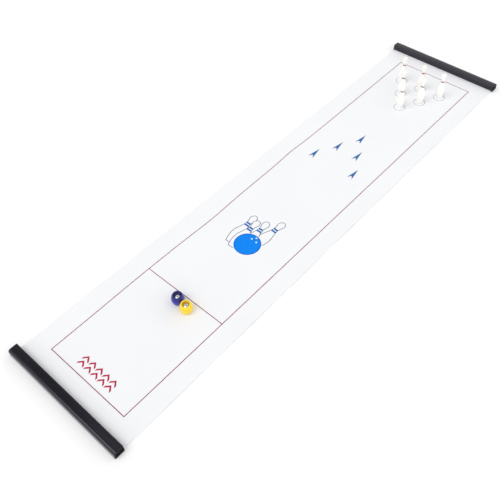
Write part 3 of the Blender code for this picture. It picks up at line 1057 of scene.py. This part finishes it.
def makePins(ivory, stripe):
    first = footOf("pin_1")
    rings = pinRings(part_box("pin_1")[1].z - first.z)
    model = turned("pin", first, rings, pin["sides"])
    for ring in (rings[-1], rings[0]):
        closeRing(model, first.z + ring[1])
    tidy(model, ivory, pin["smooth"])
    model.data.materials.append(stripe)
    for face in model.data.polygons:
        if pin["stripeLow"] < face.center.z - first.z < pin["stripeHigh"]:
            face.material_index = 1
    bodies = ("head_pin", "middle_left_pin", "middle_right_pin", "back_left_pin",
              "back_middle_pin", "back_right_pin")
    for number, body in enumerate(bodies, 1):
        node = f"pin_{number}"
        twin = copyOf(model, f"pinBody_{number}", footOf(node) - first)
        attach(twin, body)
        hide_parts(node)
    drop(model)
    print("pins done")


# Rollers

roller = {
    "radius": 0.0124,
    "height": 0.0188,
    "waistHeight": 0.0092,
    "rimRadius": 0.0095,
    "footRadius": 0.0105,
    "sideSteps": 20,
    "lipCrown": 0.0009,        # how far the rim domes
    "lipSteps": 14,
    "edgeRound": 0.0006,       # rounding of the foot's edge
    "edgeTuck": 0.8,           # its middle inside the foot's radius, as a share of it
    "edgeGap": 0.1,            # least gap between it and the side, as a share of it
    "edgeArc": (-90, -22, 6),  # from and to, in degrees, and steps
    "wellMouth": 0.0070,
    "wellFloor": 0.0062,
    "wellSteps": 12,
    "seatMouth": 0.0055,       # where the ball's crown shows in the well
    "seatLand": 0.0005,
    "seatSteps": 16,
    "softEdge": 0.0002,        # chamfer inside the shell
    "ballRadius": 0.00873,
    "ballHeight": 0.00803,
    "ballCuts": 31,
    "clearance": 0.0003,
    "ringRadius": 0.0093,
    "ringHeight": 0.0024,
    "ringMouth": 0.0060,
    "ringThroat": 0.0071,
    "ringEdge": 0.00025,       # chamfer on the ring
    "sides": 128,
}


def bulgingSide(endRadius, rise):
    # from the waist, where the wall is upright, to an end at this rise over it
    bulge = roller["radius"] - endRadius
    sweep = (rise ** 2 + bulge ** 2) / (2 * bulge)
    middle = (roller["radius"] - sweep, roller["waistHeight"])
    return arcLine(middle, sweep, 0, math.degrees(math.asin(rise / sweep)), roller["sideSteps"])


def shellRings():
    height, gap, soft = roller["height"], roller["clearance"], roller["softEdge"]
    rim, mouth, wellFoot = roller["rimRadius"], roller["wellMouth"], roller["wellFloor"]
    lower = bulgingSide(roller["footRadius"], -roller["waistHeight"])
    upper = bulgingSide(rim, height - roller["waistHeight"])
    side = lower[::-1] + upper[1:]
    edge = roller["edgeRound"]
    foot = arcLine((side[0][0] - edge * roller["edgeTuck"], edge), edge, *roller["edgeArc"])
    side = [point for point in side if point[1] > foot[-1][1] + edge * roller["edgeGap"]]
    lip = arcLine(((rim + mouth) / 2, height), (rim - mouth) / 2, 0, 180, roller["lipSteps"],
                  roller["lipCrown"])
    socket = roller["ballRadius"] + gap
    start = math.degrees(math.acos(roller["seatMouth"] / socket))
    seat = arcLine((0, roller["ballHeight"]), socket, start, 0, roller["seatSteps"])
    floor = seat[0][1] + roller["seatLand"]
    well = arcLine((wellFoot, height), mouth - wellFoot, 0, 90, roller["wellSteps"],
                   floor - height)
    roof, recess = roller["ringHeight"] + gap, roller["ringRadius"] + gap
    inside = [(roller["seatMouth"] + soft, floor), (roller["seatMouth"], floor - soft)]
    inside += seat[1:] + [(socket, roof), (recess, roof), (recess, soft), (recess + soft, 0.0)]
    rings = foot + side + lip[1:] + well[1:] + inside
    return rings + [rings[0]]


glossLook = {
    # rim: painted shade over the top, a faint painted highlight on the yellow; well: painted shade
    # inside the well
    "blue": {"colour": (0.008, 0.015, 0.42), "deep": (0.005, 0.009, 0.26),
             "rim": (0.004, 0.006, 0.17), "well": (0.002, 0.002, 0.10)},
    "yellow": {"colour": (0.97, 0.70, 0.022), "deep": (0.92, 0.60, 0.012),
               "rim": (0.97, 0.72, 0.030), "well": (0.72, 0.46, 0.008)},
    "scuff": 0.1,
    "roughness": (0.12, 0.24),
    "paintedRimLow": 0.0125,          # where the belly's colour starts to turn into the rim's painted shade (a faint painted highlight on the yellow)
    "paintedRimHigh": 0.0185,
    "wellShadeFade": (1.1, 0.95),   # of the mouth: where the well's painted shade starts and is full
}


def makeGloss(name):
    # cast resin: one colour on the belly, painted shade at the rim (a faint painted highlight on
    # the yellow), and the deepest painted shade in the well
    look = glossLook[name]
    material = newMaterial("glossy" + name.capitalize(), look["colour"], glossLook["roughness"][0],
                           {"Coat Weight": 0.3, "Coat Roughness": 0.08})
    tree, where = material.node_tree, placeOf(material)
    flow = remap(noise(where, 110.0, 3.0), 0.35, 0.7)
    colour = blendColour(flow, look["colour"], look["deep"])
    spot = addNode(tree, "ShaderNodeMapping",
                   {"Vector": where, "Location": -footOf(name + "_roller_shell")}).outputs["Vector"]
    # painted shade towards the top of the shell, a faint painted highlight on the yellow
    top = remap(coordinates(spot)["Z"], glossLook["paintedRimLow"], glossLook["paintedRimHigh"])
    colour = blendColour(top, colour, look["rim"])
    across = addNode(tree, "ShaderNodeVectorMath", {0: spot, 1: (1, 1, 0)}, operation="MULTIPLY")
    radius = addNode(tree, "ShaderNodeVectorMath", {0: across.outputs["Vector"]},
                     operation="LENGTH")
    # painted shade down the well's wall
    fade = [roller["wellMouth"] * share for share in glossLook["wellShadeFade"]]
    colour = blendColour(remap(radius.outputs["Value"], *fade), colour, look["well"])
    scratches = noise(placeOf(material, (1, 1, 6)), 900.0, 5.0, 0.7)
    pale = tuple(0.5 * part + 0.4 for part in look["colour"])
    colour = blendColour(remap(scratches, 0.68, 0.76, 0.0, glossLook["scuff"]), colour, pale)
    rough = remap(noise(where, 500.0, 3.0), 0.3, 0.7, *glossLook["roughness"])
    return paintWith(material, colour, rough, noise(where, 300.0, 2.0), 0.2, 0.00006)


def makeSteel():
    material = newMaterial("polishedSteel", (0.80, 0.80, 0.81), 0.08, {"Metallic": 1.0})
    smear = remap(noise(placeOf(material), 260.0, 4.0), 0.35, 0.75)
    colour = blendColour(smear, (0.82, 0.82, 0.83), (0.70, 0.70, 0.72))
    lines = noise(placeOf(material, (1, 8, 1)), 1400.0, 4.0, 0.7)
    return paintWith(material, colour, remap(smear, 0.0, 1.0, 0.06, 0.17), lines, 0.12, 0.00002)


def makeRingPlastic():
    material = newMaterial("blackRingPlastic", (0.03, 0.03, 0.03), 0.5)
    where = placeOf(material)
    grain = noise(where, 2200.0, 2.0)
    dust = remap(noise(where, 300.0, 3.0), 0.4, 0.8, 0.0, 0.6)
    colour = blendColour(dust, (0.025, 0.025, 0.027), (0.06, 0.06, 0.06))
    return paintWith(material, colour, remap(grain, 0.3, 0.7, 0.42, 0.6), grain, 0.4, 0.00003)


def makeBall(name, middle):
    # a cube cut fine and pressed to a ball, so that it has no poles
    calm()
    bpy.ops.mesh.primitive_cube_add(size=2 * roller["ballRadius"], location=middle)
    piece = fresh(name)
    openMesh(piece)
    bpy.ops.mesh.subdivide(number_cuts=roller["ballCuts"])
    calm()
    for vert in piece.data.vertices:
        away = vert.co - middle
        vert.co = middle + away.normalized() * roller["ballRadius"]
    return piece


def makeRoller(colour, gloss, ringPlastic, steel):
    foot = footOf(colour + "_roller_shell")
    shell = turned(colour + "Shell", foot, shellRings(), roller["sides"], ringShut=True)
    throat, mouth = roller["ringThroat"], roller["ringMouth"]
    wide, tall = roller["ringRadius"], roller["ringHeight"]
    soft = roller["ringEdge"]
    rings = [(mouth, soft), (mouth + soft, 0.0), (wide - soft, 0.0), (wide, soft),
             (wide, tall - soft), (wide - soft, tall), (throat, tall), (mouth, soft)]
    ring = turned(colour + "Ring", foot, rings, roller["sides"], ringShut=True)
    ball = makeBall(colour + "Ball", foot + Vector((0, 0, roller["ballHeight"])))
    for piece, paint, smooth, body, node, slot in (
            (shell, gloss, 38, "_roller", "_roller_shell", colour + "_shell"),
            (ring, ringPlastic, 30, "_roller", "_roller_ring", "roller_ring"),
            (ball, steel, 60, "_ball", "_roller_ball", "steel_ball")):
        tidy(piece, paint, smooth)
        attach(piece, colour + body)
        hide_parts(colour + node)
    print(colour, "roller done")


# Stage, light and camera

studio = {
    "floor": (0.90, 0.90, 0.905),
    "floorLift": 0.13,         # added for the camera, so that the floor reads as white
    "floorSize": 9.0,
    "floorDrop": 0.0004,
    "domeLow": 0.45,           # sine of the height where the white dome starts to darken
    "domeHigh": 0.87,
    "zenith": 0.15,
    # power, spread in degrees, place
    "keyLamp": (0.88, 38, (-0.75, -1.75, 2.9)),
    "fillLamp": (0.93, 120, (1.7, 0.35, 2.6)),
}

view = {
    "place": (0.5502, -0.7172, 0.9440),
    "azimuth": 43.40,          # degrees, as the next two
    "elevation": 50.80,
    "roll": 2.35,
    "lens": 45.32,             # millimetres, as the sensor
    "sensor": 36.0,
    "clip": (0.01, 60),
}


def seenRay(tree):
    # 1 for what the camera sees directly or in a mirror
    path = addNode(tree, "ShaderNodeLightPath").outputs
    mirrored = sums("MAXIMUM", path["Is Glossy Ray"], path["Is Transmission Ray"])
    return sums("MAXIMUM", path["Is Camera Ray"], mirrored)


def makeFloor():
    calm()
    bpy.ops.mesh.primitive_plane_add(size=studio["floorSize"],
                                     location=(0, 0, -studio["floorDrop"]))
    floor = fresh("paleFloor")
    material = newMaterial("palePaper", studio["floor"], 0.9,
                           {"Specular IOR Level": 0.0, "Emission Color": (1, 1, 1, 1)})
    lift = sums("MULTIPLY", seenRay(material.node_tree), studio["floorLift"])
    feed(shaderOf(material), {"Emission Strength": lift})
    floor.data.materials.append(material)


def makeWorld():
    # a white dome that darkens overhead
    world = bpy.data.worlds.new("softWhite")
    bpy.context.scene.world = world
    world.use_nodes = True
    tree = world.node_tree
    where = addNode(tree, "ShaderNodeTexCoord").outputs["Generated"]
    fade = remap(coordinates(where)["Z"], studio["domeLow"], studio["domeHigh"], 1.0,
                 studio["zenith"])
    feed(tree.nodes["Background"], {"Color": (1, 1, 1, 1), "Strength": fade})


def softSun(name):
    power, spread, place = studio[name]
    calm()
    bpy.ops.object.light_add(type="SUN", location=place)
    lamp = bpy.context.object
    lamp.name = name
    lamp.data.energy = power
    lamp.data.angle = math.radians(spread)
    lamp.rotation_euler = (-Vector(place)).to_track_quat("-Z", "Y").to_euler()


def makeCamera():
    calm()
    bpy.ops.object.camera_add(location=view["place"])
    camera = bpy.context.object
    look = (Matrix.Rotation(math.radians(view["azimuth"]), 4, "Z")
            @ Matrix.Rotation(math.radians(90 - view["elevation"]), 4, "X")
            @ Matrix.Rotation(math.radians(-view["roll"]), 4, "Z"))
    camera.rotation_euler = look.to_euler()
    camera.data.sensor_width = view["sensor"]
    camera.data.lens = view["lens"]
    camera.data.clip_start, camera.data.clip_end = view["clip"]
    bpy.context.scene.camera = camera


makeCamera()
makeWorld()
makeFloor()
softSun("keyLamp")
softSun("fillLamp")
bpy.context.scene.view_settings.view_transform = "Standard"
print("stage, light and camera done")

makeMat(makeCloth())
makeLaneLines(makeInk("lineInk"))
makeChevrons(makeInk("crimsonInk"))
makeArrows(makeInk("arrowInk"))
makePinRings(makeInk("greyInk"))
makeFigure(*[makeInk(name) for name in ("brightBlueInk", "deepBlueInk", "outlineInk", "bandInk")])
makeEnds(makeBlackPlastic("drawnBlackPlastic"), makeBlackPlastic("mouldedBlackPlastic"),
         makeBlackPlastic("mattBlackPlastic"), makeRodPlastic())
makePins(makeIvory(), makeStripePaint())
ringPlastic, steel = makeRingPlastic(), makeSteel()
for colour in ("blue", "yellow"):
    makeRoller(colour, makeGloss(colour), ringPlastic, steel)

calm()
